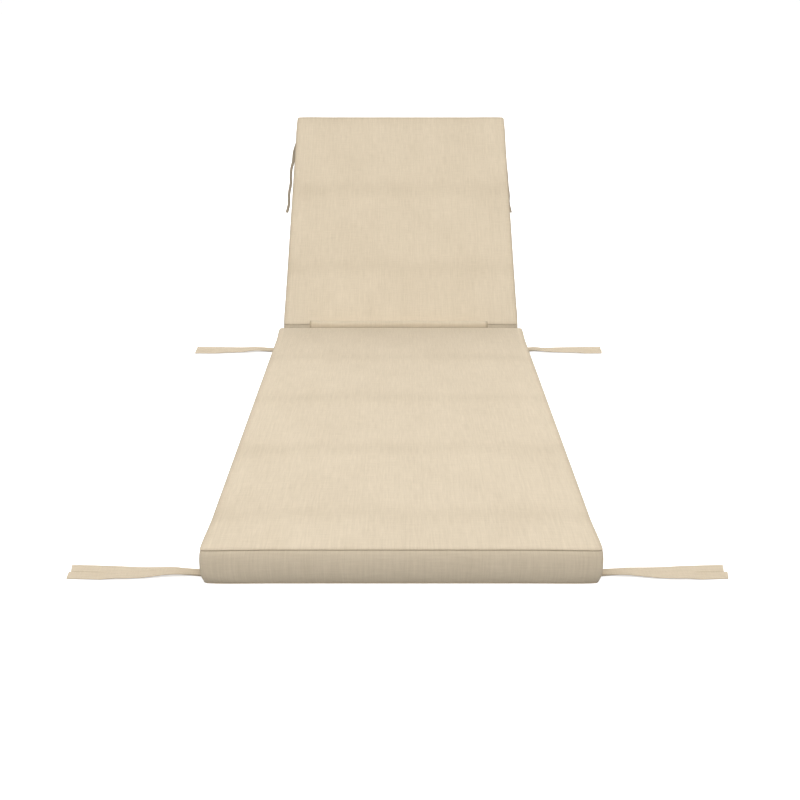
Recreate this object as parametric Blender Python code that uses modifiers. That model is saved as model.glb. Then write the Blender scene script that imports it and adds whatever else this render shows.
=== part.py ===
# Sun lounger cushion. A long seat section lies flat, a shorter back section stands propped
# behind it with its lower edge on the ground, a narrower strip of cloth hinges the two
# along their top edges, and three pairs of ties come out of the side seams.
# Metres, +Z up. The seat's front edge faces -Y, and left is -X.

import math

import bmesh
import bpy
from mathutils import Matrix, Vector

# Each section's width, its length, and how far its sides draw in between the corners.
SEAT = (0.5845, 1.143, 0.0035)
BACK = (0.5815, 0.708, 0.0014)
SEAT_LENGTH = SEAT[1]
BACK_LENGTH = BACK[1]
THICKNESS = 0.058
CROWN = 0.0025
CORNER_RADIUS = 0.013
SMALLEST_RADIUS = 0.004
END_WAIST = 0.0015
FLARE = 0.110

# At the four corners the seams sink a little, and the boxing bulges less.
CORNER_DIP = 0.0012
CORNER_SLACK = 0.0020
CORNER_FADE = 8
BOXING_DIP_SHARE = 0.3

# Where the back section stands: its angle, how far its lower rear edge is behind the seat,
# and how deep that edge is pressed flat by its own weight.
BACK_ANGLE = math.radians(39.3)
FOOT_GAP = 0.111
PRESSED = 0.0013

# One sewn edge, from the panel over its rolled border and the seam to the boxing's bulge.
# Each row is (in from the widest outline, down from the panel's border).
EDGE_ROWS = (
    (0.0100, 0.0000),
    (0.0056, 0.0006),
    (0.0036, 0.0015),
    (0.0043, 0.0026),
    (0.0027, 0.0035),
    (0.0012, 0.0066),
    (0.0003, 0.0140),
)
ROLL_INSET = EDGE_ROWS[2][0]
SEAM_DROP = EDGE_ROWS[3][1]
BOXING_DROP = EDGE_ROWS[5][1]
# How the panel rises to its crown: (in from the widest outline, share of the crown).
CROWN_ROWS = ((0.035, 0.50), (0.085, 0.85), (0.150, 1.00))
LONG_STEPS = 16
SHORT_STEPS = 10
CORNER_STEPS = 3
SHARP_ANGLE = math.radians(50)

# The hinge strip, sewn into the seat's rear top seam and the back section's lower face seam.
HINGE_WIDTH = 0.420
HINGE_SHIFT = -0.005
HINGE_THICKNESS = 0.0018
HINGE_RISE = 0.0140
HINGE_LEAN = 0.70
# The rise is uneven across the strip: (share of the rise, waves, where the wave starts).
HINGE_WAVES = ((0.05, 5.0, 1.0), (0.03, 11.0, 0.0))
HINGE_ACROSS = 16
HINGE_ALONG = 12

# The ties: one tape each, folded in half at its root, so that it has two tails.
TAPE_WIDTH = 0.0195
TAPE_THICKNESS = 0.0014
LAYER_GAP = 0.0005
FOLD_RADIUS = (TAPE_THICKNESS + LAYER_GAP) / 2
TIP_SLANT = 0.0020
# A tape is gathered a little where the seam holds it.
ROOT_PINCH = 0.14
PINCH_LENGTH = 0.25
CLEARANCE = 0.0003
TAIL_STEPS = 14
FOLD_STEPS = 4
FLOOR_TIE_LENGTH = {"left": 0.197, "right": 0.186}
# Where along a floor tie its upper tail comes down beside the lower one.
STEP_DOWN = (0.140, 0.170)

# How far from the section's end each tie is sewn in.
FOOT_TIE_AT = 0.034
HINGE_TIE_AT = 0.017
HEAD_TIE_AT = 0.048

# How far the two tails of a floor tie spread sideways, at even steps from root to tip:
# the lower tail and then the upper one.
FOOT_SPREAD = (
    (0.0000, 0.0052, 0.0084, 0.0124, 0.0150),
    (0.0000, -0.0010, -0.0080, -0.0078, -0.0055),
)
HINGE_SPREAD = (
    (0.0000, 0.0062, 0.0118, 0.0145, 0.0158),
    (0.0000, 0.0000, -0.0068, -0.0090, -0.0085),
)

# The way that a head tie hangs, as (out from the seam, down from it).
HEAD_ROUTE = {
    "left": (
        (0.0000, 0.0000),
        (0.0034, 0.0001),
        (0.0054, 0.0040),
        (0.0112, 0.0200),
        (0.0152, 0.0400),
        (0.0183, 0.0570),
        (0.0233, 0.0750),
        (0.0258, 0.0970),
        (0.0263, 0.1170),
        (0.0314, 0.1410),
        (0.0332, 0.1600),
        (0.0340, 0.1770),
        (0.0408, 0.2000),
    ),
    "right": (
        (0.0000, 0.0000),
        (0.0034, 0.0001),
        (0.0050, 0.0040),
        (0.0046, 0.0200),
        (0.0050, 0.0400),
        (0.0112, 0.0670),
        (0.0154, 0.0950),
        (0.0184, 0.1250),
        (0.0224, 0.1490),
        (0.0232, 0.1730),
        (0.0300, 0.2000),
    ),
}
HEAD_LOWERED = 0.0014
HEAD_TURN = math.radians(11)
HEAD_TWIST_LENGTH = 0.060
# It leaves square to the tilted seam, and has swung plumb this far down.
HEAD_SWING = 0.045
ROUTE_STEP = 0.01

COLLECTION = "sun_lounger_cushion"
SIDES = {"left": -1, "right": 1}


def clear_scene():
    for item in list(bpy.data.objects):
        bpy.data.objects.remove(item, do_unlink=True)


def cloth(name, colour, roughness):
    material = bpy.data.materials.new(name)
    material.use_nodes = True
    shader = material.node_tree.nodes["Principled BSDF"]
    shader.inputs["Base Color"].default_value = (*colour, 1.0)
    shader.inputs["Roughness"].default_value = roughness
    shader.inputs["Metallic"].default_value = 0.0
    material.diffuse_color = (*colour, 1.0)
    return material


def smooth(share):
    # 0 up to 0, 1 from 1 on, and an even S between them
    share = min(max(share, 0.0), 1.0)
    return share * share * (3.0 - 2.0 * share)


def curve(points, share):
    # the point at that share of the smooth curve through the points
    place = share * (len(points) - 1)
    i = min(int(place), len(points) - 2)
    t = place - i
    here, after = points[i], points[i + 1]
    before = points[max(i - 1, 0)]
    beyond = points[min(i + 2, len(points) - 1)]
    slope = (after - before) * t
    bend = (2 * before - 5 * here + 4 * after - beyond) * t ** 2
    twist = (3 * here - before - 3 * after + beyond) * t ** 3
    return (2 * here + slope + bend + twist) / 2


def spaced(steps):
    # shares from -1 to 1 that lie closer together towards the corners
    even = [2.0 * i / steps - 1.0 for i in range(steps + 1)]
    return [(share + math.sin(share * math.pi / 2)) / 2 for share in even]


def outline(size, inset):
    # a rounded rectangle about (0, length / 2), drawn in between its corners
    width, length, waist = size
    half_x = width / 2 - inset
    half_y = length / 2 - inset
    radius = max(CORNER_RADIUS - inset, SMALLEST_RADIUS)
    points = []
    for turn in range(4):
        steps = SHORT_STEPS if turn % 2 else LONG_STEPS
        reach, run = (half_y, half_x - radius) if turn % 2 else (half_x, half_y - radius)
        facing = Matrix.Rotation(turn * math.pi / 2, 2)
        for share in spaced(steps)[:-1]:
            points.append(facing @ Vector((reach, share * run)))
        middle = Vector((reach - radius, run))
        for i in range(CORNER_STEPS):
            bend = i / CORNER_STEPS * math.pi / 2
            arm = Vector((math.cos(bend), math.sin(bend))) * radius
            points.append(facing @ (middle + arm))
    ring = []
    for x, y in points:
        drawn_x = x * (1 - waist * smooth((half_y - abs(y)) / FLARE) / half_x)
        drawn_y = y * (1 - END_WAIST * smooth((half_x - abs(x)) / FLARE) / half_y)
        ring.append((drawn_x, drawn_y + length / 2))
    return ring


def side_reach(y, size):
    # half the section's width at its widest, y metres from its lower end
    width, length, waist = size
    return width / 2 - waist * smooth(min(y, length - y) / FLARE)


def end_draw(x, size):
    # how far the end of a section has drawn in, x metres from its middle
    return END_WAIST * smooth((size[0] / 2 - abs(x)) / FLARE)


def tie_root(at, size):
    # how far out the fold of a tie starts, just clear of the seam along the tape's whole width
    reach = max(side_reach(at + edge * TAPE_WIDTH / 2, size) for edge in (-1, 1))
    return reach - ROLL_INSET + CLEARANCE + FOLD_RADIUS + TAPE_THICKNESS / 2


def half_tape(share):
    # half the tape's width at that share of a tail
    return TAPE_WIDTH / 2 * (1 - ROOT_PINCH * (1 - smooth(share / PINCH_LENGTH)))


def corner_weight(x, y, size):
    # 1 at the four corners, fading out quickly along the sides
    width, length, _ = size
    nearness = abs(x) / (width / 2) * abs(y - length / 2) / (length / 2)
    return nearness ** CORNER_FADE


def section_rows(rear_crown):
    # (inset, height, share of the corner dip) from the middle of the underside to the crown
    border = THICKNESS - CROWN
    rows = []
    if rear_crown:
        rows += [(inset, -rear_crown * share, 0.0) for inset, share in reversed(CROWN_ROWS)]
    rows += [(inset, drop, 0.0) for inset, drop in EDGE_ROWS]
    rows += [(0.0, border / 2, BOXING_DIP_SHARE)]
    rows += [(inset, border - drop, 1.0) for inset, drop in reversed(EDGE_ROWS)]
    rows += [(inset, border + CROWN * share, 0.0) for inset, share in CROWN_ROWS]
    return rows


def press_on_ground(body, place):
    # what would reach under the ground is pressed flat on it
    back = place.inverted()
    for vertex in body.verts:
        spot = place @ vertex.co
        if spot.z < 0:
            vertex.co = back @ Vector((spot.x, spot.y, 0))


def finish(name, body, material, collection, place):
    mesh = bpy.data.meshes.new(name)
    body.to_mesh(mesh)
    body.free()
    mesh.materials.append(material)
    mesh.shade_smooth()
    mesh.set_sharp_from_angle(angle=SHARP_ANGLE)
    item = bpy.data.objects.new(name, mesh)
    item.matrix_world = place
    collection.objects.link(item)
    return item


def section(name, size, rear_crown, material, collection, place):
    # one filled section: panels, seams and boxing as one closed skin, lofted ring on ring
    body = bmesh.new()
    rings = []
    for inset, height, dip in section_rows(rear_crown):
        boxing = BOXING_DROP <= height <= THICKNESS - CROWN - BOXING_DROP
        drawn = outline(size, inset + CORNER_SLACK if boxing else inset)
        ring = []
        for full, slack in zip(outline(size, inset), drawn):
            weight = corner_weight(*full, size)
            x, y = Vector(full).lerp(Vector(slack), weight)
            ring.append(body.verts.new((x, y, height - dip * CORNER_DIP * weight)))
        rings.append(ring)
    for lower, upper in zip(rings, rings[1:]):
        for i in range(len(lower)):
            j = (i + 1) % len(lower)
            body.faces.new((lower[i], lower[j], upper[j], upper[i]))
    body.faces.new(list(reversed(rings[0])))
    body.faces.new(rings[-1])
    press_on_ground(body, place)
    return finish(name, body, material, collection, place)


def strip(name, rows, thickness, material, collection):
    # a strip of cloth: rows of points across it, made a thin closed solid by Solidify
    body = bmesh.new()
    grid = [[body.verts.new(point) for point in row] for row in rows]
    for near, far in zip(grid, grid[1:]):
        for i in range(len(near) - 1):
            body.faces.new((near[i], near[i + 1], far[i + 1], far[i]))
    item = finish(name, body, material, collection, Matrix.Identity(4))
    skin = item.modifiers.new("Cloth thickness", "SOLIDIFY")
    skin.thickness = thickness
    skin.offset = 0.0
    skin.use_even_offset = True
    return item


def hinge_strip(material, collection, back_place):
    # an arch of cloth from seam to seam, steeper where it leaves the seat
    seam_height = THICKNESS - CROWN - SEAM_DROP
    into_seam = ROLL_INSET - CLEARANCE - HINGE_THICKNESS / 2
    rows = []
    for i in range(HINGE_ALONG + 1):
        share = 0.5 - 0.5 * math.cos(math.pi * i / HINGE_ALONG)
        row = []
        for j in range(HINGE_ACROSS + 1):
            across = 2 * j / HINGE_ACROSS - 1
            x = HINGE_SHIFT + across * HINGE_WIDTH / 2
            start = Vector((x, SEAT_LENGTH - end_draw(x, SEAT) - into_seam, seam_height))
            stop = back_place @ Vector((x, end_draw(x, BACK) + into_seam, seam_height))
            chord = stop - start
            upward = Vector((0, -chord.z, chord.y)).normalized()
            waves = sum(size * math.sin(turns * across + phase) for size, turns, phase in HINGE_WAVES)
            rise = HINGE_RISE * (1 + waves) * math.sin(math.pi * share ** HINGE_LEAN)
            row.append(start + chord * share + upward * rise)
        rows.append(row)
    return strip("hinge_strip", rows, HINGE_THICKNESS, material, collection)


def tie(name, tail, material, collection):
    # tail(layer, share) gives the middle of the tape, half its width as a vector and its
    # direction, for the layers 0, below, and 1, above; a small fold joins the two at the root
    stations = []
    for i in range(TAIL_STEPS, 0, -1):
        stations.append((*tail(0, i / TAIL_STEPS), i == TAIL_STEPS))
    below, across, along = tail(0, 0.0)
    middle = (below + tail(1, 0.0)[0]) / 2
    for i in range(FOLD_STEPS + 1):
        turn = math.pi * i / FOLD_STEPS
        arm = (below - middle) * math.cos(turn) - along * FOLD_RADIUS * math.sin(turn)
        stations.append((middle + arm, across, along, False))
    for i in range(1, TAIL_STEPS + 1):
        stations.append((*tail(1, i / TAIL_STEPS), i == TAIL_STEPS))
    rows = []
    for spot, across, along, tip in stations:
        half = across + along * (TIP_SLANT if tip else 0.0)
        rows.append([spot + half * edge for edge in (-1, 0, 1)])
    return strip(name, rows, TAPE_THICKNESS, material, collection)


def floor_tail(side, at, tie_length, spread):
    # a tail that lies on the ground beside the seat
    root = tie_root(at, SEAT)

    def tail(layer, share):
        out = share * tie_length
        start, stop = STEP_DOWN
        lift = layer * 2 * FOLD_RADIUS * (1 - smooth((out - start) / (stop - start)))
        y = at + curve(spread[layer], share)
        spot = Vector((side * (root + out), y, TAPE_THICKNESS / 2 + lift))
        return spot, Vector((0, half_tape(share), 0)), Vector((side, 0, 0))

    return tail


def swing(down):
    # how far a head tie has swung to the rear on its way down to plumb
    hung = min(down, HEAD_SWING)
    return math.tan(BACK_ANGLE) * hung * (1 - hung / (2 * HEAD_SWING))


def head_tail(side, route, place):
    # a tail that hangs from the rear side seam near the top of the back section
    at = BACK_LENGTH - HEAD_TIE_AT
    height = FOLD_RADIUS + TAPE_THICKNESS / 2 - HEAD_LOWERED
    root = place @ Vector((side * tie_root(at, BACK), at, height))
    seam = (place.to_3x3() @ Vector((0, 1, 0))).normalized()
    level = Vector((side * math.sin(HEAD_TURN), math.cos(HEAD_TURN), 0))
    points = [Vector((side * out, swing(down), -down)) for out, down in route]

    def tail(layer, share):
        ahead = curve(points, min(share + ROUTE_STEP, 1))
        along = (ahead - curve(points, max(share - ROUTE_STEP, 0))).normalized()
        centre = curve(points, share)
        across = seam.lerp(level, smooth(-centre.z / HEAD_TWIST_LENGTH))
        across = (across - along * across.dot(along)).normalized()
        stacked = along.cross(across) * side * (2 * layer - 1)
        return root + centre + stacked * FOLD_RADIUS, across * half_tape(share), along

    return tail


def foot_depth():
    # how far under the ground the corner of the back section's box would be
    lowest = min(
        (inset + END_WAIST) * math.sin(BACK_ANGLE) + drop * math.cos(BACK_ANGLE)
        for inset, drop in EDGE_ROWS
    )
    return lowest + PRESSED


def centre_on_origin(items):
    # one empty carries every piece, moved so that the whole stands centred on the origin
    root = bpy.data.objects.new("cushion_root", None)
    bpy.context.scene.collection.objects.link(root)
    bpy.context.view_layer.update()
    depsgraph = bpy.context.evaluated_depsgraph_get()
    spots = []
    for item in items:
        mesh = item.evaluated_get(depsgraph).data
        spots += [item.matrix_world @ vertex.co for vertex in mesh.vertices]
    for axis in (0, 1):
        ends = [spot[axis] for spot in spots]
        root.location[axis] = -(min(ends) + max(ends)) / 2
    for item in items:
        item.parent = root


def main():
    clear_scene()
    collection = bpy.data.collections.new(COLLECTION)
    bpy.context.scene.collection.children.link(collection)
    cover = cloth("cover_cloth", (0.74, 0.66, 0.52), 0.9)
    tape = cloth("tie_tape", (0.67, 0.56, 0.40), 0.85)
    back_place = (
        Matrix.Translation((0, SEAT_LENGTH + FOOT_GAP, -foot_depth()))
        @ Matrix.Rotation(BACK_ANGLE, 4, "X")
    )
    items = [
        section("seat_section", SEAT, 0.0, cover, collection, Matrix.Identity(4)),
        section("back_section", BACK, CROWN, cover, collection, back_place),
        hinge_strip(cover, collection, back_place),
    ]
    floor_ties = {
        "foot_tie": (FOOT_TIE_AT, FOOT_SPREAD),
        "hinge_tie": (SEAT_LENGTH - HINGE_TIE_AT, HINGE_SPREAD),
    }
    for label, side in SIDES.items():
        for kind, (at, spread) in floor_ties.items():
            tail = floor_tail(side, at, FLOOR_TIE_LENGTH[label], spread)
            items.append(tie(f"{kind}_{label}", tail, tape, collection))
        tail = head_tail(side, HEAD_ROUTE[label], back_place)
        items.append(tie(f"head_tie_{label}", tail, tape, collection))
    centre_on_origin(items)


main()
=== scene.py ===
import math

import bmesh
import bpy
from mathutils import Matrix, Vector, noise


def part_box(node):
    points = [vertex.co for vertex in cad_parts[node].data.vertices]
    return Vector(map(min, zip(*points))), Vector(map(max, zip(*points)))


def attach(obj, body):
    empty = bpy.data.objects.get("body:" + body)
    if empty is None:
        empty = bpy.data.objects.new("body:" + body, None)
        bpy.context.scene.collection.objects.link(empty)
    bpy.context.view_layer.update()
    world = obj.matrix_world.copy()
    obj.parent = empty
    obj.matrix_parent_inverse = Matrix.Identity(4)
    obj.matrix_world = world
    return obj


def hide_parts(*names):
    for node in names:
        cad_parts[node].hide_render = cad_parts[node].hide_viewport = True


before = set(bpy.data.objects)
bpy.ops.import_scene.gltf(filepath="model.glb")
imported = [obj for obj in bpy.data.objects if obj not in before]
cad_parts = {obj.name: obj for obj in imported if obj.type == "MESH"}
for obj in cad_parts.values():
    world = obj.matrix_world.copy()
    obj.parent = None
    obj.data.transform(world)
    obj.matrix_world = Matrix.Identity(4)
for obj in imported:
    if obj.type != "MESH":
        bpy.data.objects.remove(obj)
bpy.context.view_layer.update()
print("frame loaded:", len(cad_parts), "nodes")

# where the two sections lie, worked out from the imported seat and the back's angle
seat = {
    "width": 0.5845,
    "length": 1.143,
    "waist": 0.0035,       # how far its long sides draw in between the corners
    "footRoll": 0.0012,    # how far its lower edge rolls under
    "cornerRoll": 0.0033,  # and how much more at its corners
    "toe": 0.0,            # how far its lower end bulges, just under the seam
    "rearShade": (0.20, 0.30),     # painted shade: the panel darkens a little towards the hinge: how much, over
    "across": 50,          # cells over its width and its length
    "along": 98,
    "shadeBands": 0.1136,       # where the first soft band of painted shade lies
}
back = {
    "width": 0.5815,
    "length": 0.708,
    "waist": 0.0014,
    "footRoll": 0.0,
    "cornerRoll": 0.0,
    "toe": 0.0060,
    "rearShade": (0.0, 0.30),
    "across": 50,
    "along": 62,
    "shadeBands": 0.1770,
}
stand = {"angle": math.radians(39.3), "footGap": 0.111, "footDepth": 0.0057}

seatLow, seatHigh = (Vector(corner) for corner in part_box("seat_section"))
middleX = (seatLow.x + seatHigh.x) / 2
frontY = (seatLow.y + seatHigh.y - seat["length"]) / 2
seatPlace = Matrix.Translation((middleX, frontY, 0.0))
backPlace = (
    seatPlace
    @ Matrix.Translation((0.0, seat["length"] + stand["footGap"], -stand["footDepth"]))
    @ Matrix.Rotation(stand["angle"], 4, "X")
)

# one sewn edge, from the flat panel over the rolled border and down the boxing:
# (in from the widest outline, down from the panel), metres
sewnEdge = (
    (0.0140, 0.0000),
    (0.0092, 0.0001),
    (0.0061, 0.0002),
    (0.0041, 0.0003),
    (0.0029, 0.0005),
    (0.0032, 0.0007),
    (0.0048, 0.0009),
    (0.0040, 0.0015),
    (0.0033, 0.0025),
    (0.0022, 0.0044),
    (0.0013, 0.0078),
    (0.0006, 0.0125),
    (0.0001, 0.0190),
)
rollRow, seamRow = 4, 6  # places in sewnEdge
# painted shade in the groove and along the rolled border of each seam, for each row, and the share
# of it at the lower seam
seamShade = {1: 0.10, 2: 0.30, 3: 0.45, 4: 0.9, 5: 1.0, 6: 1.0, 7: 0.7, 8: 0.1}
lowerShade = 0.3

cushion = {
    "thickness": 0.058,
    "crown": 0.0025,       # how far the filled panel stands up
    "crownReach": 0.150,
    "cornerRadius": 0.009,
    "smallestRadius": 0.004,
    "cornerCrowding": 0.75,  # how much closer the points lie towards the corners
    "endWaist": 0.0015,    # how far the short ends draw in between the corners
    "flare": 0.110,        # over how much of a side that fades out
    "cornerDip": 0.0012,   # how far the panel's corners dip
    "cornerSlack": 0.0024,  # how far the boxing draws in at the corners
    "cornerDraw": 0.0016,  # and the seams
    "cornerFade": 8,       # how close to a corner all that stays
    "wander": 0.0005,      # soft unevenness of the filled panels
    "wanderScale": (5.0, 4.0, 10.0),
    "wanderFade": 0.060,
    "pucker": 0.00035,     # gathers along the seams
    "puckerStart": 0.006,
    "puckerReach": 0.022,
    "puckerScales": (70.0, 150.0),
    "swell": 0.0016,       # how far the simulation may move the cloth
    "lowerBulge": 0.8,     # the lower half of the boxing, pressed a little fuller
    "footHeight": 0.022,   # how far up the roll of the lower edge reaches
    "toeHigh": 2.8,        # how close under the seam the bulge of the lower end is
    "toeReach": (0.022, 0.020),
}
filling = {
    "pressure": 4.0,
    "frames": 20,
    "quality": 4,
    "mass": 0.3,
    "stretch": 25.0,
    "shear": 12.0,
    "bending": 4.0,
}
seamHeight = cushion["thickness"] - cushion["crown"] - sewnEdge[seamRow][1]


def ease(share):
    share = min(max(share, 0.0), 1.0)
    return share * share * (3.0 - 2.0 * share)


def mix(a, b, share):
    return a + (b - a) * share


def alongCurve(points, share):
    # the smooth curve through the points, at that share of them
    place = share * (len(points) - 1)
    i = min(int(place), len(points) - 2)
    t = place - i
    here, after = points[i], points[i + 1]
    before = points[max(i - 1, 0)]
    beyond = points[min(i + 2, len(points) - 1)]
    slope = (after - before) * t
    bend = (2 * before - 5 * here + 4 * after - beyond) * t ** 2
    twist = (3 * here - before - 3 * after + beyond) * t ** 3
    return (2 * here + slope + bend + twist) / 2


# materials

weave = {
    "threadGap": 0.0011,
    # how fine each kind of slub is across and along the cloth
    "slubAlong": (420.0, 26.0),
    "slubAcross": (30.0, 380.0),
    "longStreak": (240.0, 3.0),
    "clouds": (9.0, 7.0),
    "bandGap": 0.261,
    # the tone that painted shade darkens the cloth towards
    "paintedShadeTone": (0.63, 0.60, 0.56),
    "lightest": 0.47,      # where the ramp of colours starts
}


def node(tree, kind, place, **values):
    made = tree.nodes.new(kind)
    made.location = place
    for name, value in values.items():
        setattr(made, name, value)
    return made


def math2(tree, operation, a, b, place):
    made = node(tree, "ShaderNodeMath", place, operation=operation)
    for socket, value in zip(made.inputs, (a, b)):
        if isinstance(value, (int, float)):
            socket.default_value = value
        else:
            tree.links.new(value, socket)
    return made.outputs[0]


def stretchedNoise(tree, source, scale, detail, place):
    # noise pulled out along one direction of the cloth
    mapping = node(tree, "ShaderNodeMapping", place)
    mapping.inputs["Scale"].default_value = (scale[0], scale[1], 1.0)
    tree.links.new(source, mapping.inputs["Vector"])
    texture = node(tree, "ShaderNodeTexNoise", (place[0] + 180, place[1]))
    texture.inputs["Scale"].default_value = 1.0
    texture.inputs["Detail"].default_value = detail
    texture.inputs["Roughness"].default_value = 0.55
    tree.links.new(mapping.outputs[0], texture.inputs["Vector"])
    return texture.outputs["Fac"]


def clothMaterial(name, colour, shade, streaks, shadeBands, bumpHeight):
    # plain weave with slubs: colour where the cloth is light, shade where it is dark;
    # soft bands of painted shade across it, and more painted shade where the piece's attribute asks
    # for it
    material = bpy.data.materials.new(name)
    material.use_nodes = True
    tree = material.node_tree
    shader = tree.nodes["Principled BSDF"]
    shader.inputs["Roughness"].default_value = 0.88
    shader.inputs["Specular IOR Level"].default_value = 0.15
    shader.inputs["Sheen Weight"].default_value = 0.08
    shader.inputs["Sheen Roughness"].default_value = 0.55
    uv = node(tree, "ShaderNodeUVMap", (-1500, 0), uv_map="clothGrain").outputs[0]

    # warp and weft: two crossed rows of threads, in metres of cloth
    split = node(tree, "ShaderNodeSeparateXYZ", (-1300, -350))
    tree.links.new(uv, split.inputs[0])
    turns = 2.0 * math.pi / weave["threadGap"]
    warp = math2(tree, "MULTIPLY", split.outputs[0], turns, (-1120, -300))
    warp = math2(tree, "SINE", warp, 0, (-950, -300))
    weft = math2(tree, "MULTIPLY", split.outputs[1], turns, (-1120, -480))
    weft = math2(tree, "SINE", weft, 0, (-950, -480))
    threads = math2(tree, "MULTIPLY", warp, weft, (-780, -380))

    alongSlub = stretchedNoise(tree, uv, weave["slubAlong"], 3.0, (-1300, 300))
    acrossSlub = stretchedNoise(tree, uv, weave["slubAcross"], 3.0, (-1300, 100))
    longStreak = stretchedNoise(tree, uv, weave["longStreak"], 2.0, (-1300, 700))
    cloudy = stretchedNoise(tree, uv, weave["clouds"], 2.0, (-1300, 500))

    # painted shade: soft darker bands across the cloth, standing in for gentle waves in the filled
    # panels
    bandTurns = 2.0 * math.pi / weave["bandGap"]
    phase = math2(tree, "MULTIPLY", split.outputs[1], bandTurns, (-1120, -660))
    crest = math2(tree, "COSINE", phase, 0, (-950, -660))
    crest = math2(tree, "MAXIMUM", crest, 0.0, (-780, -660))
    crest = math2(tree, "POWER", crest, 5.0, (-610, -660))

    tone = math2(tree, "MULTIPLY", alongSlub, streaks, (-700, 300))
    for part, amount, y in (
        (acrossSlub, streaks * 0.68, 100),
        (longStreak, streaks * 0.45, 700),
        (cloudy, 0.30, 500),
        (threads, 0.05, -380),
        (crest, shadeBands, -560),
    ):
        share = math2(tree, "MULTIPLY", part, amount, (-440, y))
        tone = math2(tree, "ADD", tone, share, (-200, y))
    ramp = node(tree, "ShaderNodeValToRGB", (140, 250))
    ramp.color_ramp.elements[0].position = weave["lightest"]
    ramp.color_ramp.elements[0].color = (*colour, 1.0)
    ramp.color_ramp.elements[1].position = 1.0
    ramp.color_ramp.elements[1].color = (*shade, 1.0)
    tree.links.new(tone, ramp.inputs["Fac"])
    # painted shade: the attribute's share darkens the cloth towards a darker tone
    seam = node(tree, "ShaderNodeAttribute", (140, 480), attribute_name="paintedShade")
    paintShade = node(tree, "ShaderNodeMix", (320, 420), data_type="RGBA", blend_type="MULTIPLY")
    paintShade.inputs["B"].default_value = (*weave["paintedShadeTone"], 1.0)
    tree.links.new(seam.outputs["Fac"], paintShade.inputs["Factor"])
    tree.links.new(ramp.outputs[0], paintShade.inputs["A"])
    tree.links.new(paintShade.outputs["Result"], shader.inputs["Base Color"])

    height = threads
    for part, amount, y in ((alongSlub, 2.2, -200), (acrossSlub, 1.6, -100)):
        share = math2(tree, "MULTIPLY", part, amount, (-400, y))
        height = math2(tree, "ADD", height, share, (-200, y))
    bump = node(tree, "ShaderNodeBump", (140, -150))
    bump.inputs["Strength"].default_value = 0.55
    bump.inputs["Distance"].default_value = bumpHeight
    tree.links.new(height, bump.inputs["Height"])
    tree.links.new(bump.outputs[0], shader.inputs["Normal"])
    shader.location = (520, 100)
    tree.nodes["Material Output"].location = (820, 100)
    return material


def threadMaterial(name, colour, shade):
    # twisted thread, a little lighter and darker along its way
    material = bpy.data.materials.new(name)
    material.use_nodes = True
    tree = material.node_tree
    shader = tree.nodes["Principled BSDF"]
    shader.inputs["Roughness"].default_value = 0.6
    shader.inputs["Sheen Weight"].default_value = 0.2
    place = node(tree, "ShaderNodeTexCoord", (-900, 0)).outputs["Object"]
    twist = node(tree, "ShaderNodeTexNoise", (-700, 0))
    twist.inputs["Scale"].default_value = 1400.0
    tree.links.new(place, twist.inputs["Vector"])
    ramp = node(tree, "ShaderNodeValToRGB", (-480, 100))
    ramp.color_ramp.elements[0].color = (*shade, 1.0)
    ramp.color_ramp.elements[1].color = (*colour, 1.0)
    tree.links.new(twist.outputs["Fac"], ramp.inputs["Fac"])
    tree.links.new(ramp.outputs[0], shader.inputs["Base Color"])
    bump = node(tree, "ShaderNodeBump", (-480, -200))
    bump.inputs["Strength"].default_value = 0.4
    bump.inputs["Distance"].default_value = 0.0001
    tree.links.new(twist.outputs["Fac"], bump.inputs["Height"])
    tree.links.new(bump.outputs[0], shader.inputs["Normal"])
    return material


coverCloth = clothMaterial(
    "coverCloth", (0.77, 0.66, 0.50), (0.62, 0.52, 0.38),
    streaks=0.53, shadeBands=0.10, bumpHeight=0.00029,
)
tieCloth = clothMaterial(
    "tieCloth", (0.71, 0.605, 0.457), (0.57, 0.475, 0.345),
    streaks=0.60, shadeBands=0.0, bumpHeight=0.00022,
)
sewingThread = threadMaterial("sewingThread", (0.80, 0.70, 0.54), (0.62, 0.52, 0.38))
print("materials made")


def addPiece(name, mesh, material, node):
    piece = bpy.data.objects.new(name, mesh)
    bpy.context.scene.collection.objects.link(piece)
    mesh.materials.clear()
    mesh.materials.append(material)
    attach(piece, "root")
    if node:
        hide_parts(node)
    return piece


def bake(piece):
    # the evaluated shape becomes the piece's own mesh, and its modifiers go
    graph = bpy.context.evaluated_depsgraph_get()
    mesh = bpy.data.meshes.new_from_object(piece.evaluated_get(graph))
    old = piece.data
    piece.modifiers.clear()
    piece.data = mesh
    bpy.data.meshes.remove(old)
    return mesh


# the two filled sections

def sideShares(cells):
    # from corner to corner, closer together towards the corners
    even = [2.0 * i / cells - 1.0 for i in range(cells + 1)]
    crowding = cushion["cornerCrowding"]
    return [mix(share, math.sin(share * math.pi / 2), crowding) for share in even]


def outlinePoint(spec, inset, side, share):
    # side 0 is the front, then right, rear and left, each run counter-clockwise
    half = (spec["width"] / 2 - inset, spec["length"] / 2 - inset)
    radius = max(cushion["cornerRadius"] - inset, cushion["smallestRadius"])
    reach, run = (half[1], half[0]) if side % 2 == 0 else (half[0], half[1])
    straight = run - radius
    distance = share * (straight + radius * math.pi / 4)
    if abs(distance) <= straight:
        spot = Vector((distance, -reach))
    else:
        bend = (abs(distance) - straight) / radius
        out = straight + radius * math.sin(bend)
        spot = Vector((math.copysign(out, distance), -reach + radius * (1 - math.cos(bend))))
    x, y = Matrix.Rotation(side * math.pi / 2, 2) @ spot
    drawnX = x * (1 - spec["waist"] * ease((half[1] - abs(y)) / cushion["flare"]) / half[0])
    drawnY = y * (1 - cushion["endWaist"] * ease((half[0] - abs(x)) / cushion["flare"]) / half[1])
    return Vector((drawnX, drawnY))


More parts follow.
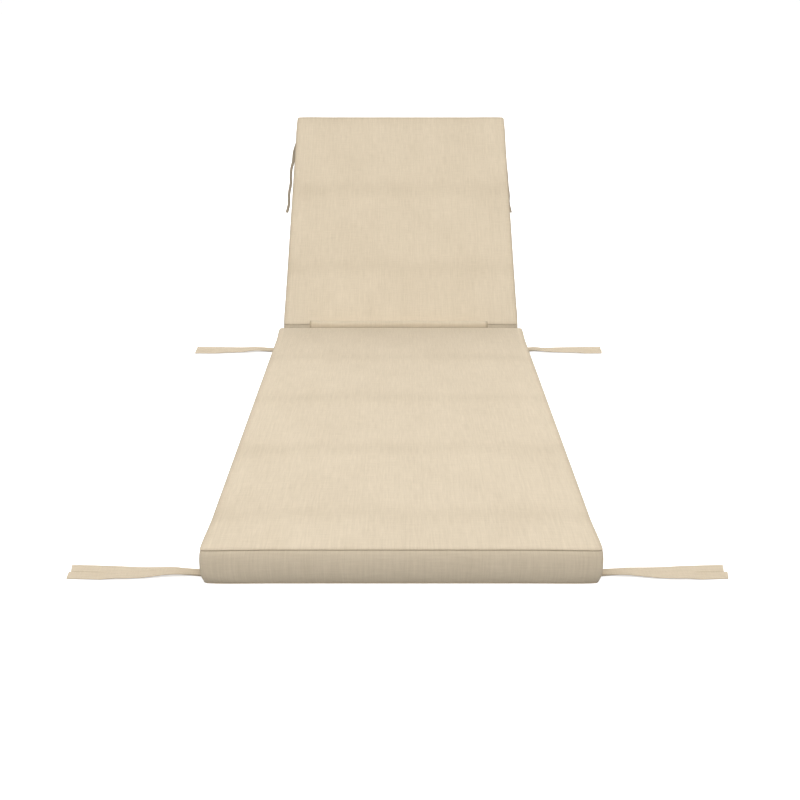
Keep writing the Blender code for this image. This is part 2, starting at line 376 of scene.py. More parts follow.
def outlineRing(spec, inset):
    ring = []
    for side in range(4):
        cells = spec["across"] if side % 2 == 0 else spec["along"]
        ring += [outlinePoint(spec, inset, side, share) for share in sideShares(cells)[:-1]]
    return ring


def cornerNearness(spec, spot):
    across = abs(spot.x) / (spec["width"] / 2)
    return (across * abs(spot.y) / (spec["length"] / 2)) ** cushion["cornerFade"]


def toeBulge(spec, spot, height):
    share = min(height / seamHeight, 1.0)
    start, over = cushion["toeReach"]
    end = ease((start - spot.y - spec["length"] / 2) / over)
    return spec["toe"] * math.sin(math.pi * share ** cushion["toeHigh"]) * end


def panelGrid(spec, ring):
    # a grid of points inside the ring, blended from its four sides
    nx, ny = spec["across"], spec["along"]
    front = ring[0:nx + 1]
    right = ring[nx:nx + ny + 1]
    rear = list(reversed(ring[nx + ny:2 * nx + ny + 1]))
    left = list(reversed(ring[2 * nx + ny:] + ring[:1]))
    us = [(share + 1) / 2 for share in sideShares(nx)]
    vs = [(share + 1) / 2 for share in sideShares(ny)]
    grid = {}
    for i, u in enumerate(us):
        for j, v in enumerate(vs):
            sides = mix(front[i], rear[i], v) + mix(left[j], right[j], u)
            corners = mix(mix(front[0], front[nx], u), mix(rear[0], rear[nx], u), v)
            grid[i, j] = sides - corners
    return grid


def panelRise(spec, spot):
    # how far the filled panel stands above its border, with a soft unevenness
    inside = min(spec["width"] / 2 - abs(spot.x), spec["length"] / 2 - abs(spot.y))
    share = min(max((inside - sewnEdge[0][0]) / cushion["crownReach"], 0.0), 1.0)
    rise = cushion["crown"] * math.sin(share * math.pi / 2)
    across, along, seed = cushion["wanderScale"]
    drift = noise.noise(Vector((spot.x * across, spot.y * along, spec["length"] * seed)))
    return rise + drift * cushion["wander"] * ease(inside / cushion["wanderFade"])


def sectionMesh(name, spec, rearCrown):
    nx, ny = spec["across"], spec["along"]
    border = cushion["thickness"] - cushion["crown"]
    rows = [(inset, border - drop, 1.0) for inset, drop in sewnEdge]
    rows.append((0.0, border / 2, 0.3))
    rows += [(inset * cushion["lowerBulge"], drop, 0.0) for inset, drop in reversed(sewnEdge)]
    body = bmesh.new()
    grain = body.loops.layers.uv.new("clothGrain")
    pinned = body.verts.layers.float.new("pinned")
    paintedShade = body.verts.layers.float.new("paintedShade")
    boxingFirst, boxingLast = seamRow, len(rows) - 1 - seamRow
    rings, flat = [], []
    for place, (inset, height, dip) in enumerate(rows):
        low = max(1 - height / cushion["footHeight"], 0.0) ** 2
        inset += spec["footRoll"] * low
        loose = boxingFirst + 2 < place < boxingLast - 2
        drawn = cushion["cornerSlack"] if loose else cushion["cornerDraw"]
        full = outlineRing(spec, inset)
        tight = outlineRing(spec, inset + drawn + spec["cornerRoll"] * low)
        ring = []
        for outer, inner in zip(full, tight):
            near = cornerNearness(spec, outer)
            spot = mix(outer, inner, near * near)
            spot.y -= toeBulge(spec, spot, height)
            vert = body.verts.new((spot.x, spot.y, height - dip * cushion["cornerDip"] * near))
            vert[pinned] = 0.0 if loose else 1.0
            # painted shade along the seams
            if place < len(rows) / 2:
                vert[paintedShade] = seamShade.get(place, 0.0)
            else:
                vert[paintedShade] = seamShade.get(len(rows) - 1 - place, 0.0) * lowerShade
            ring.append(vert)
        rings.append(ring)
        flat.append(full)
    count = len(rings[0])
    travelled = [0.0]
    for k in range(count):
        travelled.append(travelled[-1] + (flat[seamRow][(k + 1) % count] - flat[seamRow][k]).length)

    def facing(quad, coords):
        face = body.faces.new(quad)
        face.smooth = True
        for loop, uv in zip(face.loops, coords):
            loop[grain].uv = uv

    for place in range(len(rings) - 1):
        upper, lower = rings[place], rings[place + 1]
        for k in range(count):
            j = (k + 1) % count
            quad = (upper[k], lower[k], lower[j], upper[j])
            if boxingFirst <= place < boxingLast:
                coords = []
                for corner, at in zip(quad, (k, k, k + 1, k + 1)):
                    coords.append((travelled[at], corner.co.z + 0.031))
            else:
                shift = spec["length"] / 2 - spec["shadeBands"]
                coords = [(corner.co.x, corner.co.y + shift) for corner in quad]
            facing(quad, coords)
    for ring, side in ((rings[0], 1), (rings[-1], -1)):
        spots = panelGrid(spec, [Vector(vert.co[:2]) for vert in ring])
        edge = {}
        for k in range(nx + 1):
            edge[k, 0] = ring[k]
            edge[nx - k, ny] = ring[nx + ny + k]
        for k in range(ny + 1):
            edge[nx, k] = ring[nx + k]
            edge[0, ny - k] = ring[(2 * nx + ny + k) % count]
        grid = {}
        for key, spot in spots.items():
            if key in edge:
                grid[key] = edge[key]
                continue
            rise = panelRise(spec, spot) if side > 0 or rearCrown else 0.0
            level = border if side > 0 else 0.0
            grid[key] = body.verts.new((spot.x, spot.y, level + side * rise))
            # painted shade towards the rear end of the panel
            darker, reach = spec["rearShade"]
            grid[key][paintedShade] = darker * (1 - ease((spec["length"] / 2 - spot.y) / reach))
        for i in range(nx):
            for j in range(ny):
                quad = [grid[i, j], grid[i + 1, j], grid[i + 1, j + 1], grid[i, j + 1]]
                if side < 0:
                    quad.reverse()
                shift = spec["length"] / 2 - spec["shadeBands"]
                facing(quad, [(corner.co.x, corner.co.y + shift) for corner in quad])
    for vert in body.verts:
        vert.co.y += spec["length"] / 2
    mesh = bpy.data.meshes.new(name)
    body.to_mesh(mesh)
    body.free()
    return mesh


def fillWithPressure(piece):
    # the loose cloth between the seams swells a little under its filling
    mesh = piece.data
    before = [vert.co.copy() for vert in mesh.vertices]
    group = piece.vertex_groups.new(name="seams")
    for vert, layer in zip(mesh.vertices, mesh.attributes["pinned"].data):
        group.add([vert.index], layer.value, "REPLACE")
    cloth = piece.modifiers.new("Filling", "CLOTH")
    cloth.settings.quality = filling["quality"]
    cloth.settings.mass = filling["mass"]
    cloth.settings.tension_stiffness = filling["stretch"]
    cloth.settings.compression_stiffness = filling["stretch"]
    cloth.settings.shear_stiffness = filling["shear"]
    cloth.settings.bending_stiffness = filling["bending"]
    cloth.settings.use_pressure = True
    cloth.settings.uniform_pressure_force = filling["pressure"]
    cloth.settings.vertex_group_mass = "seams"
    cloth.settings.pin_stiffness = 1.0
    cloth.settings.effector_weights.gravity = 0.0
    cloth.collision_settings.use_collision = False
    cloth.point_cache.frame_start = 1
    cloth.point_cache.frame_end = filling["frames"]
    for frameNow in range(1, filling["frames"] + 1):
        bpy.context.scene.frame_set(frameNow)
    graph = bpy.context.evaluated_depsgraph_get()
    after = [vert.co.copy() for vert in piece.evaluated_get(graph).data.vertices]
    piece.modifiers.clear()
    bpy.context.scene.frame_set(1)
    swell = cushion["swell"]
    for vert, start, end in zip(mesh.vertices, before, after):
        move = end - start
        if move.length > 1e-7:
            move *= swell * math.tanh(move.length / swell) / move.length
        vert.co = start + move
    furthest = max((end - start).length for start, end in zip(before, after))
    print(piece.name, "filled, the most it moved:", furthest)


def puckerSeams(mesh, spec):
    # small gathers beside the seams, and nothing right at them
    border = cushion["thickness"] - cushion["crown"]
    coarse, fine = cushion["puckerScales"]
    for vert in mesh.vertices:
        x, y, z = vert.co
        inside = min(spec["width"] / 2 - abs(x), spec["length"] / 2 - abs(y - spec["length"] / 2))
        inwards = max(inside - cushion["puckerStart"], 0.0)
        fromSeam = math.hypot(inwards, min(abs(z - border), abs(z)))
        share = fromSeam / cushion["puckerReach"]
        strength = ease(share * 4.0) * (1.0 - ease(share))
        if strength > 0.0:
            gather = noise.noise(Vector((x * coarse, y * coarse, z * 12.0)))
            gather += 0.5 * noise.noise(Vector((x * fine, y * fine, 7.0)))
            vert.co += vert.normal * gather * strength * cushion["pucker"]


def settle(mesh, place):
    # into the world, and flat on the ground where it would go under it
    for vert in mesh.vertices:
        spot = place @ vert.co
        spot.z = max(spot.z, 0.0)
        vert.co = spot
    mesh.update()


def filledSection(name, nodeName, spec, place, rearCrown):
    mesh = sectionMesh(name, spec, rearCrown)
    piece = addPiece(name, mesh, coverCloth, nodeName)
    fillWithPressure(piece)
    piece.vertex_groups.clear()
    mesh.attributes.remove(mesh.attributes["pinned"])
    puckerSeams(mesh, spec)
    smoother = piece.modifiers.new("Smoother", "SUBSURF")
    smoother.levels = smoother.render_levels = 1
    mesh = bake(piece)
    settle(mesh, place)
    mesh.shade_smooth()
    print(name, "made:", len(mesh.polygons), "faces")
    return piece


seatSection = filledSection("seatSection", "seat_section", seat, seatPlace, False)
backSection = filledSection("backSection", "back_section", back, backPlace, True)


# strips of cloth: the hinge between the sections, and the ties

softEdge = {"share": 0.3, "segments": 2, "angle": math.radians(50)}


def clothStrip(
    name, rows, thickness, lengths, widths, material, nodeName, shades, sideShade=None,
):
    # rows of points across the strip; lengths and widths give the cloth's own coordinates,
    # shades how much painted shade each row has, and sideShade how much it has that far from a side
    body = bmesh.new()
    grain = body.loops.layers.uv.new("clothGrain")
    paintedShade = body.verts.layers.float.new("paintedShade")
    grid = [[body.verts.new(point) for point in row] for row in rows]
    for row, shade in zip(grid, shades):
        for vert, at in zip(row, widths):
            fromSide = min(at - widths[0], widths[-1] - at)
            vert[paintedShade] = max(shade, sideShade(fromSide)) if sideShade else shade
    for i in range(len(grid) - 1):
        for j in range(len(grid[0]) - 1):
            face = body.faces.new((grid[i][j], grid[i][j + 1], grid[i + 1][j + 1], grid[i + 1][j]))
            face.smooth = True
            spots = ((i, j), (i, j + 1), (i + 1, j + 1), (i + 1, j))
            for loop, (a, b) in zip(face.loops, spots):
                loop[grain].uv = (widths[b], lengths[a])
    mesh = bpy.data.meshes.new(name)
    body.to_mesh(mesh)
    body.free()
    piece = addPiece(name, mesh, material, nodeName)
    skin = piece.modifiers.new("Cloth thickness", "SOLIDIFY")
    skin.thickness = thickness
    skin.offset = 0.0
    skin.use_even_offset = True
    rounded = piece.modifiers.new("Soft edges", "BEVEL")
    rounded.width = thickness * softEdge["share"]
    rounded.segments = softEdge["segments"]
    rounded.limit_method = "ANGLE"
    rounded.angle_limit = softEdge["angle"]
    bake(piece).shade_smooth()
    return piece


def endDraw(spec, x):
    return cushion["endWaist"] * ease((spec["width"] / 2 - abs(x)) / cushion["flare"])


hinge = {
    "width": 0.4245,
    "shift": -0.005,
    "thickness": 0.0016,
    # the arch from the seat's seam to the back's: (along the straight way, above it)
    "profile": (
        (0.0000, 0.0000),
        (0.0004, 0.0038),
        (0.0012, 0.0076),
        (0.0028, 0.0108),
        (0.0064, 0.0130),
        (0.0140, 0.0138),
        (0.0270, 0.0132),
        (0.0420, 0.0110),
        (0.0570, 0.0074),
        (0.0715, 0.0036),
        (0.0859, 0.0000),
    ),
    "waves": ((0.05, 5.0, 1.0), (0.03, 11.0, 0.0)),
    "gather": 0.0005,
    "gatherScale": (60.0, 2.0, 3.0),
    # painted shade, a darker band up its front: how dark, how far up, how wide
    "frontShade": (0.35, 0.0035, 0.0062),
    # painted shade along its open sides: how dark, and how far in
    "sideShade": 1.6,
    "sideReach": 0.0056,
    "clearance": 0.0003,
    "across": 120,
    "along": 44,
}


def hingeRows():
    # rows across the strip, from the seat's seam over the arch to the back's seam
    into = sewnEdge[rollRow][0] - hinge["clearance"] - hinge["thickness"] / 2
    profile = [Vector(point) for point in hinge["profile"]]
    fine, coarse, seed = hinge["gatherScale"]
    rows = []
    for i in range(hinge["along"] + 1):
        share = i / hinge["along"]
        run, above = alongCurve(profile, share)
        row = []
        for j in range(hinge["across"] + 1):
            across = 2 * j / hinge["across"] - 1
            x = hinge["shift"] + across * hinge["width"] / 2
            start = seatPlace @ Vector((x, seat["length"] - endDraw(seat, x) - into, seamHeight))
            stop = backPlace @ Vector((x, endDraw(back, x) + into, seamHeight))
            chord = stop - start
            upward = Vector((0.0, -chord.z, chord.y)).normalized()
            waves = sum(
                size * math.sin(turns * across + phase) for size, turns, phase in hinge["waves"]
            )
            gather = noise.noise(Vector((x * fine, share * coarse, seed)))
            gather *= math.sin(math.pi * share)
            rise = above * (1 + waves) + gather * hinge["gather"]
            row.append(start + chord * (run / profile[-1].x) + upward * rise)
        rows.append(row)
    return rows


hingeSurface = hingeRows()
middle = hinge["across"] // 2
hingeLengths = [0.0]
for low, high in zip(hingeSurface, hingeSurface[1:]):
    hingeLengths.append(hingeLengths[-1] + (high[middle] - low[middle]).length)
hingeWidths = [j / hinge["across"] * hinge["width"] for j in range(hinge["across"] + 1)]
darkest, bandAt, bandWidth = hinge["frontShade"]
hingeShades = [darkest * math.exp(-(((at - bandAt) / bandWidth) ** 2)) for at in hingeLengths]


# painted shade near the open sides of the strip
def hingeSide(fromSide):
    return hinge["sideShade"] * (1 - fromSide / hinge["sideReach"])


hingeStrip = clothStrip(
    "hingeStrip", hingeSurface, hinge["thickness"], hingeLengths, hingeWidths,
    coverCloth, "hinge_strip", hingeShades, hingeSide,
)
print("hinge strip made, cut", round(hingeLengths[-1], 4), "m long")

tape = {
    "width": 0.0195,
    "thickness": 0.0014,
    "pressed": 0.9,        # the share of that which the cloth has here
    "gap": 0.0005,         # between the two tails
    "slant": 0.0020,       # how much longer the far corner of a cut end is
    "pinch": 0.14,         # how much narrower it is at its seam
    "pinchLength": 0.25,
    "tucked": 0.0012,      # how far the fold goes into the seam
    "pleat": (0.0011, 2.6, 0.34),  # height, folds across, and the share of the tail it reaches
    "pleatPhase": 0.6,
    "setsIn": (20, 12),    # how soon the pleats and the lift of the far edge set in
    "rootShade": 0.35,     # painted shade on a floor tie at its seam, fading over a share of it
    "rootFade": 0.35,
    # painted shade all along a hanging head tie
    "hangShade": 0.45,
    "footLift": (0.0003, 0.0006),  # how far the near and the far edge of a tail stand up
    "hingeLift": (0.0002, 0.0026),
    "steps": 70,
    "foldSteps": 6,
    "across": 8,
    "stepDown": (0.124, 0.150),    # from where to where the upper tail comes down to the floor
    "footAt": 0.034,       # from the near end of the seat section
    "hingeAt": 0.017,      # from its far end
    "headAt": 0.048,       # from the top of the back section
    "beyondSeam": 0.0036,
    # how far the lower and the upper tail spread sideways, at even steps to the tip
    "footSpread": (
        (0.0000, 0.0052, 0.0088, 0.0128, 0.0152),
        (0.0000, -0.0010, -0.0074, -0.0078, -0.0056),
    ),
    "hingeSpread": (
        (0.0000, 0.0062, 0.0118, 0.0145, 0.0158),
        (0.0000, 0.0000, -0.0068, -0.0090, -0.0085),
    ),
}
# the lower and the upper tail of each floor tie, and the low hump where it leaves its seam:
# how high, how far out and over what
floorTies = {
    "foot_tie_left": {
        "lengths": (0.1990, 0.1990),
        "slants": (0.0020, 0.0008),
        "hump": (0.0022, 0.048, 0.026),
    },
    "foot_tie_right": {
        "lengths": (0.1878, 0.1889),
        "slants": (0.0020, 0.0020),
        "hump": (0.0012, 0.040, 0.024),
    },
    "hinge_tie_left": {
        "lengths": (0.2009, 0.2000),
        "slants": (0.0, 0.0),
        "hump": (0.0026, 0.057, 0.024),
    },
    "hinge_tie_right": {
        "lengths": (0.1910, 0.1898),
        "slants": (0.0012, 0.0012),
        "hump": (0.0022, 0.029, 0.018),
    },
}
# the way that each head tie hangs: (out from the seam, down from it)
headRoute = {
    "left": (
        (0.0000, 0.0000),
        (0.0034, 0.0001),
        (0.0054, 0.0040),
        (0.0112, 0.0200),
        (0.0152, 0.0400),
        (0.0183, 0.0570),
        (0.0233, 0.0750),
        (0.0258, 0.0970),
        (0.0263, 0.1170),
        (0.0314, 0.1410),
        (0.0332, 0.1600),
        (0.0340, 0.1770),
        (0.0408, 0.2000),
    ),
    "right": (
        (0.0000, 0.0000),
        (0.0034, 0.0001),
        (0.0050, 0.0040),
        (0.0046, 0.0200),
        (0.0050, 0.0400),
        (0.0112, 0.0670),
        (0.0154, 0.0950),
        (0.0184, 0.1250),
        (0.0224, 0.1490),
        (0.0232, 0.1730),
        (0.0300, 0.2000),
    ),
}
headHang = {
    "lowered": 0.0014,
    "turn": math.radians(18),
    # where it turns further: by what angle, how far down and over what
    "turnMore": (math.radians(18), 0.027, 0.016),
    "twistLength": 0.060,
    "swing": 0.045,        # it leaves square to the tilted seam, and is plumb this far down
    "routeStep": 0.01,
}
stitch = {
    "pitch": 0.0036,
    "length": 0.0027,
    "thread": 0.0006,
    "proud": 0.0001,       # how far its middle stands off the cloth
    "fromMiddle": 0.80,    # on a tie, as a share of half its width
    "hems": (0.0035, 0.0075),  # from the open sides of the hinge strip
}
foldRadius = (tape["thickness"] + tape["gap"]) / 2
sides = {"left": -1, "right": 1}


def halfTape(share):
    return tape["width"] / 2 * (1 - tape["pinch"] * (1 - ease(share / tape["pinchLength"])))


def sideReach(spec, y):
    return spec["width"] / 2 - spec["waist"] * ease(min(y, spec["length"] - y) / cushion["flare"])


def tieRoot(spec, at):
    reach = max(sideReach(spec, at + edge * tape["width"] / 2) for edge in (-1, 1))
    return reach - tape["beyondSeam"] - tape["tucked"] + foldRadius + tape["thickness"] / 2


def floorTail(side, at, spec, spread, lifts):
    root = tieRoot(seat, at)
    start, stop = tape["stepDown"]
    height, folds, reach = tape["pleat"]
    humpHeight, humpAt, humpOver = spec["hump"]
    pleatsIn, liftIn = tape["setsIn"]

    def tail(layer, share):
        out = share * spec["lengths"][layer]
        lift = layer * 2 * foldRadius * (1 - ease((out - start) / (stop - start)))
        lift += humpHeight * math.exp(-(((out - humpAt) / humpOver) ** 2))
        y = at + alongCurve(spread[layer], share)
        spot = seatPlace @ Vector((side * (root + out), y, tape["thickness"] / 2 + lift))
        up = Vector((0, 0, 1))

        def raised(across):
            # the pleats near the seam, and the far edge standing up a little
            pleat = height * (0.5 + 0.5 * math.cos(folds * math.pi * across + tape["pleatPhase"]))
            tilt = mix(lifts[0], lifts[1], (across + 1) / 2) * ease(share * liftIn)
            return up * (pleat * (1 - ease(share / reach)) * ease(share * pleatsIn) + tilt)

        return spot, Vector((0, halfTape(share), 0)), Vector((side, 0, 0)), up, raised

    return tail


def swing(down):
    hung = min(down, headHang["swing"])
    return math.tan(stand["angle"]) * hung * (1 - hung / (2 * headHang["swing"]))


def headTail(side, route):
    at = back["length"] - tape["headAt"]
    height = foldRadius + tape["thickness"] / 2 - headHang["lowered"]
    root = backPlace @ Vector((side * tieRoot(back, at), at, height))
    seam = (backPlace.to_3x3() @ Vector((0, 1, 0))).normalized()
    more, downAt, over = headHang["turnMore"]
    points = [Vector((side * out, swing(down), -down)) for out, down in route]
    step = headHang["routeStep"]

    def tail(layer, share):
        ahead = alongCurve(points, min(share + step, 1))
        along = (ahead - alongCurve(points, max(share - step, 0))).normalized()
        centre = alongCurve(points, share)
        turn = headHang["turn"] + more * math.exp(-(((-centre.z - downAt) / over) ** 2))
        level = Vector((side * math.sin(turn), math.cos(turn), 0))
        across = seam.lerp(level, ease(-centre.z / headHang["twistLength"]))
        across = (across - along * across.dot(along)).normalized()
        stacked = along.cross(across) * side * (2 * layer - 1)
        spot = root + centre + stacked * foldRadius
        return spot, across * halfTape(share), along, stacked, lambda across: Vector((0, 0, 0))

    return tail


def makeTie(name, nodeName, tail, slants, held):
    steps = tape["steps"]
    stations = [(*tail(0, i / steps), i / steps, slants[0]) for i in range(steps, 0, -1)]
    below, across, along, face, raised = tail(0, 0.0)
    centre = (below + tail(1, 0.0)[0]) / 2
    for i in range(tape["foldSteps"] + 1):
        turn = math.pi * i / tape["foldSteps"]
        arm = (below - centre) * math.cos(turn) - along * foldRadius * math.sin(turn)
        stations.append((centre + arm, across, along, face, raised, 0.0, 0.0))
    stations += [(*tail(1, i / steps), i / steps, slants[1]) for i in range(1, steps + 1)]
    rows, lengths, shades = [], [0.0], []
    shares = [2 * j / tape["across"] - 1 for j in range(tape["across"] + 1)]
    for k, (spot, half, along, face, raised, share, slant) in enumerate(stations):
        slanted = half + along * (slant if share == 1.0 else 0.0)
        rows.append([spot + slanted * across + raised(across) for across in shares])
        # painted shade: a hung tie darker all along, a floor tie darker at its seam
        if held == "hung":
            shades.append(tape["hangShade"])
        else:
            shades.append(tape["rootShade"] * (1 - ease(share / tape["rootFade"])))
        if k:
            lengths.append(lengths[-1] + (spot - stations[k - 1][0]).length)
    widths = [share * tape["width"] / 2 for share in shares]
    piece = clothStrip(
        name, rows, tape["thickness"] * tape["pressed"], lengths, widths,
        tieCloth, nodeName, shades,
    )
    print(name, "cut", round(lengths[-1], 4), "m long")
    # the two rows of stitches on each tail, on the side that shows
    for layer in (0, 1):
        for edge in (-1, 1):
            path = []
            for i in range(2, steps):
                spot, half, along, face, raised = tail(layer, i / steps)
                across = edge * stitch["fromMiddle"]
                over = face * (tape["thickness"] * tape["pressed"] / 2 + stitch["proud"])
                path.append((spot + half * across + raised(across) + over, face))
            tiePaths.append(path)


tiePaths = []
for label, side in sides.items():
    suffix = label.capitalize()
    foot = floorTies["foot_tie_" + label]
    rear = floorTies["hinge_tie_" + label]
    rearAt = seat["length"] - tape["hingeAt"]
    footTail = floorTail(side, tape["footAt"], foot, tape["footSpread"], tape["footLift"])
    rearTail = floorTail(side, rearAt, rear, tape["hingeSpread"], tape["hingeLift"])
    hangTail = headTail(side, headRoute[label])
    slants = (tape["slant"], tape["slant"])
    makeTie("footTie" + suffix, "foot_tie_" + label, footTail, foot["slants"], "laid")
    makeTie("hingeTie" + suffix, "hinge_tie_" + label, rearTail, rear["slants"], "laid")
    makeTie("headTie" + suffix, "head_tie_" + label, hangTail, slants, "hung")


# the stitches, laid along their paths by Geometry Nodes

def stitchTree():
    # a path's points carry the way that the cloth faces, in the attribute "clothFace"
    tree = bpy.data.node_groups.new("layStitches", "GeometryNodeTree")
    face = tree.interface
    face.new_socket("Geometry", in_out="INPUT", socket_type="NodeSocketGeometry")
    for name in ("Pitch", "Length", "Thread"):
        socket = face.new_socket(name, in_out="INPUT", socket_type="NodeSocketFloat")
        socket.default_value = stitch[name.lower()]
    face.new_socket("Thread material", in_out="INPUT", socket_type="NodeSocketMaterial")
    face.new_socket("Geometry", in_out="OUTPUT", socket_type="NodeSocketGeometry")
    start = node(tree, "NodeGroupInput", (-1200, 0))
    end = node(tree, "NodeGroupOutput", (1000, 0))
    join = tree.links.new

    curve = node(tree, "GeometryNodeMeshToCurve", (-1000, 0))
    join(start.outputs["Geometry"], curve.inputs["Mesh"])
    spaced = node(tree, "GeometryNodeResampleCurve", (-800, 0), mode="LENGTH")
    join(curve.outputs["Curve"], spaced.inputs["Curve"])
    join(start.outputs["Pitch"], spaced.inputs["Length"])

    # along the path, with its top to the outside of the cloth
    tangent = node(tree, "GeometryNodeInputTangent", (-800, -300))
    facing = node(tree, "GeometryNodeInputNamedAttribute", (-800, -450), data_type="FLOAT_VECTOR")
    facing.inputs["Name"].default_value = "clothFace"
    lengthwise = node(tree, "FunctionNodeAlignRotationToVector", (-560, -300), axis="X")
    join(tangent.outputs["Tangent"], lengthwise.inputs["Vector"])
    upright = node(
        tree, "FunctionNodeAlignRotationToVector", (-360, -300), axis="Z", pivot_axis="X",
    )
    join(lengthwise.outputs["Rotation"], upright.inputs["Rotation"])
    join(facing.outputs[0], upright.inputs["Vector"])

    # one stitch: a short length of thread, thin at its ends where it goes into the cloth
    ball = node(tree, "GeometryNodeMeshUVSphere", (-360, -560))
    ball.inputs["Segments"].default_value = 6
    ball.inputs["Rings"].default_value = 4
    ball.inputs["Radius"].default_value = 0.5
    turned = node(tree, "GeometryNodeTransform", (-160, -560))
    turned.inputs["Rotation"].default_value = (0.0, math.pi / 2, 0.0)
    join(ball.outputs["Mesh"], turned.inputs["Geometry"])
    size = node(tree, "ShaderNodeCombineXYZ", (-360, -760))
    join(start.outputs["Length"], size.inputs["X"])
    join(start.outputs["Thread"], size.inputs["Y"])
    join(start.outputs["Thread"], size.inputs["Z"])

    lay = node(tree, "GeometryNodeInstanceOnPoints", (100, 0))
    join(spaced.outputs["Curve"], lay.inputs["Points"])
    join(turned.outputs["Geometry"], lay.inputs["Instance"])
    join(upright.outputs["Rotation"], lay.inputs["Rotation"])
    join(size.outputs["Vector"], lay.inputs["Scale"])
    real = node(tree, "GeometryNodeRealizeInstances", (320, 0))
    join(lay.outputs["Instances"], real.inputs["Geometry"])
    smooth = node(tree, "GeometryNodeSetShadeSmooth", (520, 0))
    join(real.outputs["Geometry"], smooth.inputs["Geometry"])
    finish = node(tree, "GeometryNodeSetMaterial", (760, 0))
    join(smooth.outputs["Geometry"], finish.inputs["Geometry"])
    join(start.outputs["Thread material"], finish.inputs["Material"])
    join(finish.outputs["Geometry"], end.inputs["Geometry"])
    return tree


def layStitches(name, paths):
    points, edges, faces = [], [], []
    for path in paths:
        edges += [(len(points) + i, len(points) + i + 1) for i in range(len(path) - 1)]
        points += [spot for spot, face in path]
        faces += [face for spot, face in path]
    mesh = bpy.data.meshes.new(name)
    mesh.from_pydata(points, edges, [])
    layer = mesh.attributes.new("clothFace", "FLOAT_VECTOR", "POINT")
    for value, face in zip(layer.data, faces):
        value.vector = face
    piece = bpy.data.objects.new(name, mesh)
    bpy.context.scene.collection.objects.link(piece)
    maker = piece.modifiers.new("Stitches", "NODES")
    maker.node_group = stitchNodes
    sockets = stitchNodes.interface.items_tree
    inputs = {item.name: item.identifier for item in sockets if item.in_out == "INPUT"}
    for socket in ("Pitch", "Length", "Thread"):
        maker[inputs[socket]] = stitch[socket.lower()]
    maker[inputs["Thread material"]] = sewingThread
    bake(piece)
    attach(piece, "root")
    print(name, "made:", len(piece.data.polygons), "faces")
    return piece


def hingeHems():
    # two rows of stitches down each open side of the hinge strip
    paths = []
    columns = len(hingeSurface[0]) - 1
    for fromEdge in stitch["hems"]:
        skip = max(1, round(fromEdge / hinge["width"] * columns))
        for j in (skip, columns - skip):
            path = []
            for i in range(2, len(hingeSurface) - 1):
                spot = hingeSurface[i][j]
                along = hingeSurface[i + 1][j] - hingeSurface[i - 1][j]
                across = hingeSurface[i][j + 1] - hingeSurface[i][j - 1]
                face = across.cross(along).normalized()
                path.append((spot + face * (hinge["thickness"] / 2 + stitch["proud"]), face))
            paths.append(path)
    return paths


stitchNodes = stitchTree()
tieStitches = layStitches("tieStitches", tiePaths)
hingeStitches = layStitches("hingeStitches", hingeHems())


# the studio

studio = {
    "floorSize": 150.0,
    "floorDrop": 0.0005,
    "domeRadius": 60.0,
    "floorTone": 0.90,
    "floorGlow": 0.50,             # a light table, so the ground stays white
    "worldStrength": 0.38,
    # each light: strength, softness and tilt from straight above towards the camera, degrees
    "keyLight": (2.39, 45, 30.5),
    "rearLight": (1.50, 28, -66),
}


def plainMaterial(name, tone, glow):
    material = bpy.data.materials.new(name)
    material.use_nodes = True
    shader = material.node_tree.nodes["Principled BSDF"]
    shader.inputs["Base Color"].default_value = (tone, tone, tone, 1.0)
    shader.inputs["Roughness"].default_value = 0.9
    shader.inputs["Specular IOR Level"].default_value = 0.2
    shader.inputs["Emission Color"].default_value = (1.0, 1.0, 1.0, 1.0)
    shader.inputs["Emission Strength"].default_value = glow
    return material


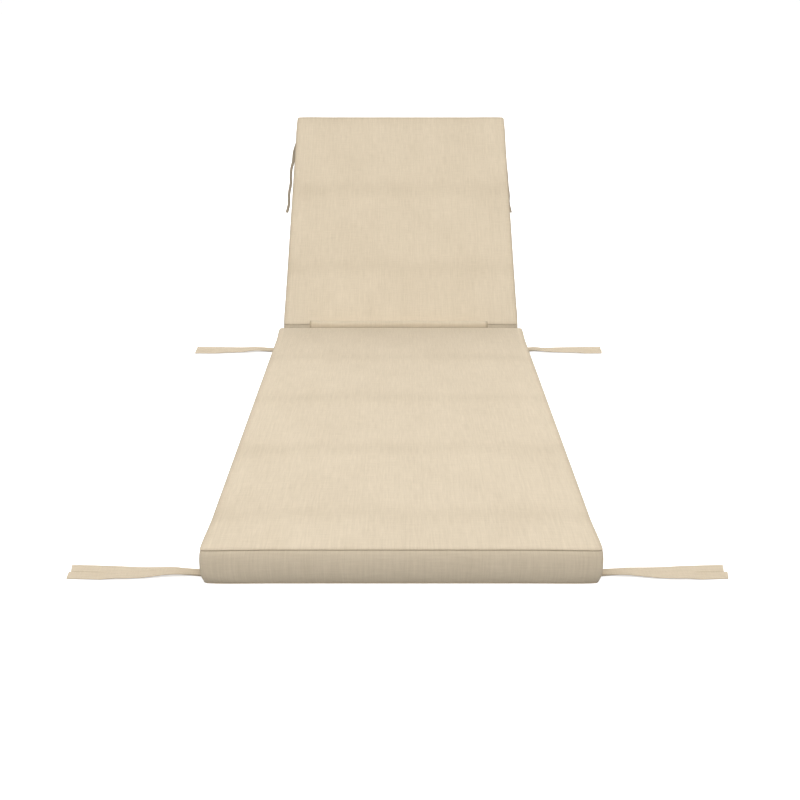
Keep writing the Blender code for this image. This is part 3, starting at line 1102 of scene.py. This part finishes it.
floorMesh = bpy.data.meshes.new("floor")
half = studio["floorSize"] / 2
corners = [(-half, -half, 0), (half, -half, 0), (half, half, 0), (-half, half, 0)]
floorMesh.from_pydata(corners, [], [(0, 1, 2, 3)])
floorMesh.materials.append(plainMaterial("paleFloor", studio["floorTone"], studio["floorGlow"]))
floor = bpy.data.objects.new("floor", floorMesh)
floor.visible_diffuse = False      # it throws no light up on the boxing
floor.location.z = -studio["floorDrop"]
bpy.context.scene.collection.objects.link(floor)

# a white dome stands behind everything; it only shows, and lights nothing
domeMesh = bpy.data.meshes.new("backdrop")
dome = bmesh.new()
bmesh.ops.create_icosphere(dome, subdivisions=4, radius=studio["domeRadius"])
dome.to_mesh(domeMesh)
dome.free()
domeMesh.shade_smooth()
domeMesh.materials.append(plainMaterial("whiteBackdrop", 0.0, 1.0))
backdrop = bpy.data.objects.new("backdrop", domeMesh)
for kind in ("diffuse", "glossy", "transmission", "shadow"):
    setattr(backdrop, "visible_" + kind, False)
bpy.context.scene.collection.objects.link(backdrop)

world = bpy.data.worlds.new("softRoom")
world.use_nodes = True
world.node_tree.nodes["Background"].inputs["Color"].default_value = (1.0, 1.0, 1.0, 1.0)
world.node_tree.nodes["Background"].inputs["Strength"].default_value = studio["worldStrength"]
bpy.context.scene.world = world

for name in ("keyLight", "rearLight"):
    strength, softness, tilt = studio[name]
    light = bpy.data.lights.new(name, "SUN")
    light.energy = strength
    light.angle = math.radians(softness)
    lamp = bpy.data.objects.new(name, light)
    lamp.rotation_euler = (math.radians(tilt), 0.0, 0.0)
    bpy.context.scene.collection.objects.link(lamp)

# the photograph's angle: the camera's tilt down in degrees, and its place in metres
view = {
    "lens": 50.0,
    "sensor": 36.0,
    "pitch": 19.8875,
    "height": 0.7941,
    "before": 1.4111,
    "sideways": -0.0018,
}
cameraData = bpy.data.cameras.new("camera")
cameraData.lens = view["lens"]
cameraData.sensor_width = view["sensor"]
camera = bpy.data.objects.new("camera", cameraData)
camera.location = (middleX + view["sideways"], frontY - view["before"], view["height"])
camera.rotation_euler = (math.radians(90.0 - view["pitch"]), 0.0, 0.0)
bpy.context.scene.collection.objects.link(camera)
bpy.context.scene.camera = camera
bpy.context.scene.view_settings.view_transform = "Standard"
print("studio made")
